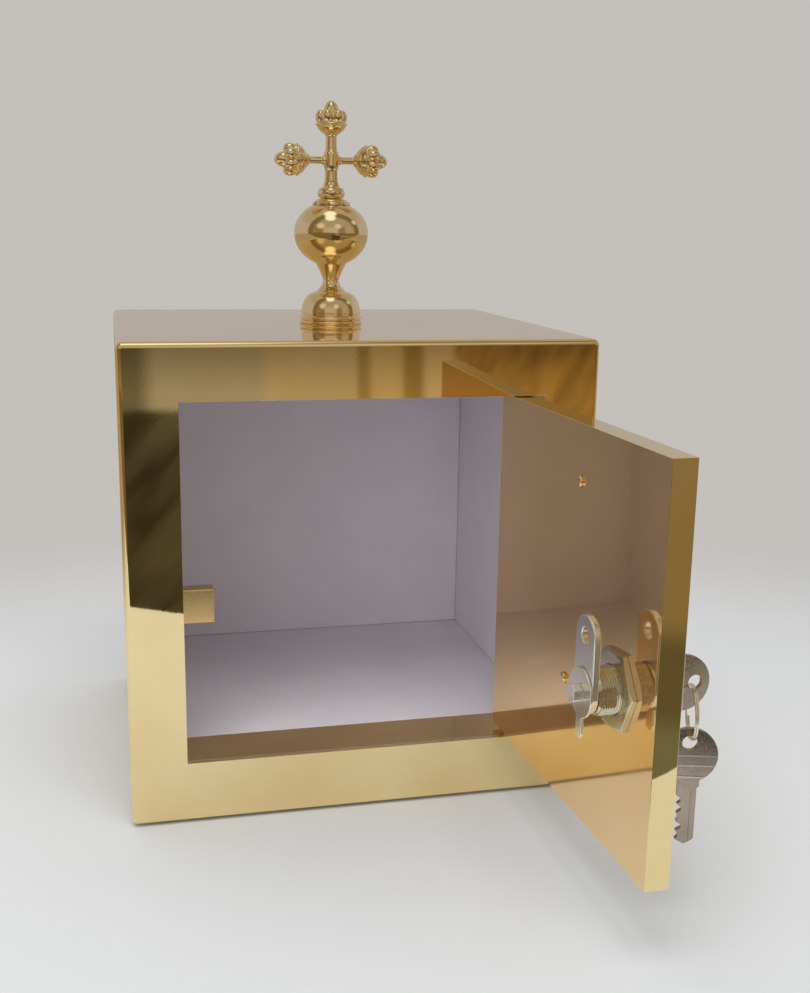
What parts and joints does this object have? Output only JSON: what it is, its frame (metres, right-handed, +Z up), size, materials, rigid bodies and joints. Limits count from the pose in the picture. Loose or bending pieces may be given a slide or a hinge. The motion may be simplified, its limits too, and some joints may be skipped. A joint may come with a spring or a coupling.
{
  "type": "tabernacle",
  "caption": "Small cube-shaped brass tabernacle with an inset pivoting door, cam lock with keys, pale lined cavity and a ball and budded cross finial.",
  "frame": {"origin": "middle of the box's underside, on the surface it stands on", "axes": "+X to the hinge side, +Y to the back, +Z up; the front with the door faces -Y"},
  "size_m": [0.2372, 0.3605, 0.3487],
  "materials": {
    "polished_brass": "mirror polished",
    "satin_brass": "satin, slightly browned",
    "nickel": "bright nickel plate",
    "key_steel": "worn nickel",
    "lining": "thin board covered with pale cloth",
    "wood": "bare softwood",
    "felt": "felt"
  },
  "bodies": {
    "case": {"case_wrap": "polished_brass", "front_plate": "polished_brass", "door_casing": "satin_brass", "back_panel": "satin_brass", "corner_lug_1": "satin_brass", "corner_lug_2": "satin_brass", "corner_lug_3": "satin_brass", "corner_lug_4": "satin_brass", "back_panel_screw_1": "nickel", "back_panel_screw_2": "nickel", "back_panel_screw_3": "nickel", "back_panel_screw_4": "nickel", "lining_floor": "lining", "lining_ceiling": "lining", "lining_left": "lining", "lining_right": "lining", "lining_back": "lining", "floor_bearer_left": "wood", "floor_bearer_right": "wood", "front_batten_left": "wood", "front_batten_right": "wood", "rear_batten_left": "wood", "rear_batten_right": "wood", "strike_block": "polished_brass", "strike_screw_1": "satin_brass", "strike_screw_2": "satin_brass", "pivot_bush_upper": "satin_brass", "pivot_bush_lower": "satin_brass", "base_felt": "felt", "finial_foot": "polished_brass", "finial_ball": "polished_brass", "finial_cap": "polished_brass", "finial_cross": "polished_brass", "finial_tie_rod": "nickel", "finial_washer": "nickel", "finial_nut": "nickel"},
    "door": {"door_leaf": "polished_brass", "pivot_pin_upper": "satin_brass", "pivot_pin_lower": "satin_brass", "door_cross": "polished_brass", "cross_stud_1": "polished_brass", "cross_stud_2": "polished_brass", "lock_barrel": "nickel", "lock_nut": "nickel"},
    "plug": {"lock_plug": "nickel", "lock_cam": "nickel", "cam_tab_washer": "nickel", "cam_screw": "nickel"},
    "key": {"lock_key": "key_steel"},
    "ring": {"key_ring": "nickel"},
    "spare": {"spare_key": "key_steel"}
  },
  "joints": [
    {"name": "door_hinge", "type": "hinge", "parent": "case", "child": "door", "pos_m": [0.0768, -0.09538, 0.119], "axis": [0, 0, 1], "range_deg": [-92.3, 25]},
    {"name": "lock_turn", "type": "hinge", "parent": "door", "child": "plug", "pos_m": [0.08204, -0.22577, 0.10605], "axis": [0.9992, 0.0401, 0], "range_deg": [0, 90]},
    {"name": "key_pull", "type": "slide", "parent": "plug", "child": "key", "axis": [0.9992, 0.0401, 0], "range_m": [0, 0.04]},
    {"name": "ring_swing", "type": "hinge", "parent": "key", "child": "ring", "pos_m": [0.11104, -0.22461, 0.10395], "axis": [-0.2756, -0.9613, 0], "range_deg": [-7, 75]},
    {"name": "spare_key_swing", "type": "hinge", "parent": "ring", "child": "spare", "pos_m": [0.11104, -0.22461, 0.08135], "axis": [-0.2756, -0.9613, 0], "range_deg": [-10, 45]}
  ]
}
